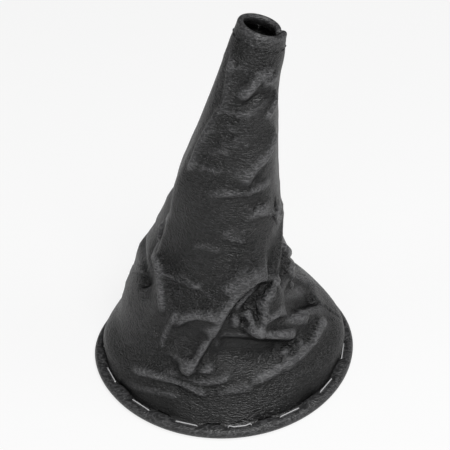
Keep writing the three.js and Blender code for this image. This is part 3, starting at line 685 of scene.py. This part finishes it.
fine = build.calc("ShaderNodeTexNoise", {"noise_dimensions": "3D"}, Vector=position, Scale=1400.0, Detail=3.0,
                  Roughness=0.6)
pebbles = build.calc("ShaderNodeTexVoronoi", {"feature": "DISTANCE_TO_EDGE"}, Vector=position, Scale=700.0)
blotches = build.calc("ShaderNodeTexNoise", {"noise_dimensions": "3D"}, Vector=position, Scale=55.0,
                      Detail=3.0)
creases = ridges(0.5, 2.6, 300.0, 3.1) * 0.6 + ridges(0.1, 2.4, 560.0, 7.7) * 0.4
height = creases * (crumpled + even_grain) + pebbles.ramp(0.0, 0.4) * pebble_grain + fine * fine_grain
bump = build.calc("ShaderNodeBump", Strength=1.0, Distance=grain_depth, Height=height)
# Crests and the fine creases' ridges are made lighter, partly wear and partly painted highlight
crest_wear_and_highlight = crest.at_least(0.0) * (creases.ramp(0.5, 1.1) * 1.7 + 0.8)
crease_wear_and_highlight = creases.ramp(0.75, 1.15) * (crumpled * 0.5 + 0.05)
wear_and_highlight = (crest_wear_and_highlight + crease_wear_and_highlight).at_most(most_wear_and_highlight)
# Painted shade: the hollows, where crest is below 0, are made darker
hollow = 1.0 - (crest * -1.0).at_least(0.0) * painted_hollow_shade
shade = (wear_and_highlight * wear_and_highlight_grey + hide_grey) * hollow
tone = build.calc("ShaderNodeCombineColor", in_0=shade, in_1=shade, in_2=shade * cold_tint)
rough = even_roughness + blotches * mottled_roughness
surface = build.calc("ShaderNodeBsdfPrincipled", Base_Color=tone, Roughness=rough, Normal=bump, IOR=1.5)
leather.node_tree.links.new(surface.socket, output.inputs["Surface"])
skirt.data.materials.append(leather)
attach(skirt, "root")
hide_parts("leather_skirt")


# The hem's stitches
# A line of black thread that holds the turned-in hem, 5.6 mm below the wall's top: dashes of thread 3.6 mm
# long at a pitch of 4.8 mm, each a thin bead that lies on the hide and dives into it at its ends.
stitch_count, stitch_radius_mm, stitch_half_mm, stitch_below_mm = 15, 0.24, 1.8, 5.6
stitch_proud_mm, stitch_dive_mm, blunt_end = 0.12, 0.35, 0.02
stitch_share = 1 - stitch_below_mm / rise_mm
half_angle = math.degrees(stitch_half_mm / (neck_radius_mm + hide_mm))
along = np.linspace(-1, 1, 9)
angles = np.linspace(0, 2 * np.pi, 8, endpoint=False)
thick = stitch_radius_mm * np.sqrt(np.maximum(1 - along ** 6, blunt_end))
stitch_rings = []
for k in range(stitch_count):
    stitch_azimuths = 360 / stitch_count * k + along * half_angle
    share = np.full_like(stitch_azimuths, stitch_share)
    n = cone_normal(stitch_azimuths, share)
    stands = (overlap(stitch_azimuths, share) + hide_mm / 2 + stitch_proud_mm
              - stitch_dive_mm * np.abs(along) ** 3)
    line = cone(stitch_azimuths, share) + n * stands[:, None]
    across = unit(np.cross(unit(np.gradient(line, axis=0)), n))
    stitch_rings.append(line[:, None] + thick[:, None, None] * (
        n[:, None] * np.cos(angles)[None, :, None] + across[:, None] * np.sin(angles)[None, :, None]))
points, faces = [], []
for rings in stitch_rings:
    base = len(points)
    count, width = rings.shape[:2]
    points += (rings.reshape(-1, 3) * MM).tolist()
    for j in range(count - 1):
        for i in range(width):
            a, b = base + j * width + i, base + j * width + (i + 1) % width
            faces.append((a, a + width, b + width, b))
    faces.append(tuple(base + i for i in range(width)))
    faces.append(tuple(base + (count - 1) * width + i for i in reversed(range(width))))
mesh = bpy.data.meshes.new("hem_stitches")
mesh.from_pydata(points, [], faces)
mesh.polygons.foreach_set("use_smooth", np.ones(len(mesh.polygons), bool))
stitches = bpy.data.objects.new("hem_stitches", mesh)
bpy.context.scene.collection.objects.link(stitches)
thread, build, output = new_material("black_thread")
position = build.calc("ShaderNodeTexCoord", out=3)
twist = build.calc("ShaderNodeTexWave", Vector=position, Scale=900.0)
bump = build.calc("ShaderNodeBump", Strength=0.4, Distance=0.0001, Height=twist)
surface = build.calc("ShaderNodeBsdfPrincipled", Base_Color=(0.006, 0.006, 0.006, 1), Roughness=0.7,
                     Normal=bump)
thread.node_tree.links.new(surface.socket, output.inputs["Surface"])
stitches.data.materials.append(thread)
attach(stitches, "root")


# The staples and the hoop
# The staples are bright zinc-plated steel wire, with one bend at each end of a 12 mm crown. They are pressed
# through the wrapped edge by a stapler. The hoop inside the edge is a black nylon rod. Both are the CAD's own
# solids, with these finishes.
wire, build, output = new_material("zinc_wire")
position = build.calc("ShaderNodeTexCoord", out=3)
scuffs = build.calc("ShaderNodeTexNoise", {"noise_dimensions": "3D"}, Vector=position, Scale=900.0,
                    Detail=3.0)
bump = build.calc("ShaderNodeBump", Strength=0.15, Distance=0.0001, Height=scuffs)
surface = build.calc("ShaderNodeBsdfPrincipled", Base_Color=(0.85, 0.85, 0.86, 1), Metallic=0.35,
                     Roughness=0.3 + scuffs * 0.15, Normal=bump)
wire.node_tree.links.new(surface.socket, output.inputs["Surface"])
rod, build, output = new_material("black_nylon")
position = build.calc("ShaderNodeTexCoord", out=3)
grain = build.calc("ShaderNodeTexNoise", {"noise_dimensions": "3D"}, Vector=position, Scale=700.0)
surface = build.calc("ShaderNodeBsdfPrincipled", Base_Color=(0.012, 0.012, 0.013, 1),
                     Roughness=0.45 + grain * 0.15)
rod.node_tree.links.new(surface.socket, output.inputs["Surface"])
for name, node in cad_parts.items():
    if name.startswith("staple_") or name == "base_hoop":
        node.data.materials.clear()
        node.data.materials.append(wire if name.startswith("staple_") else rod)
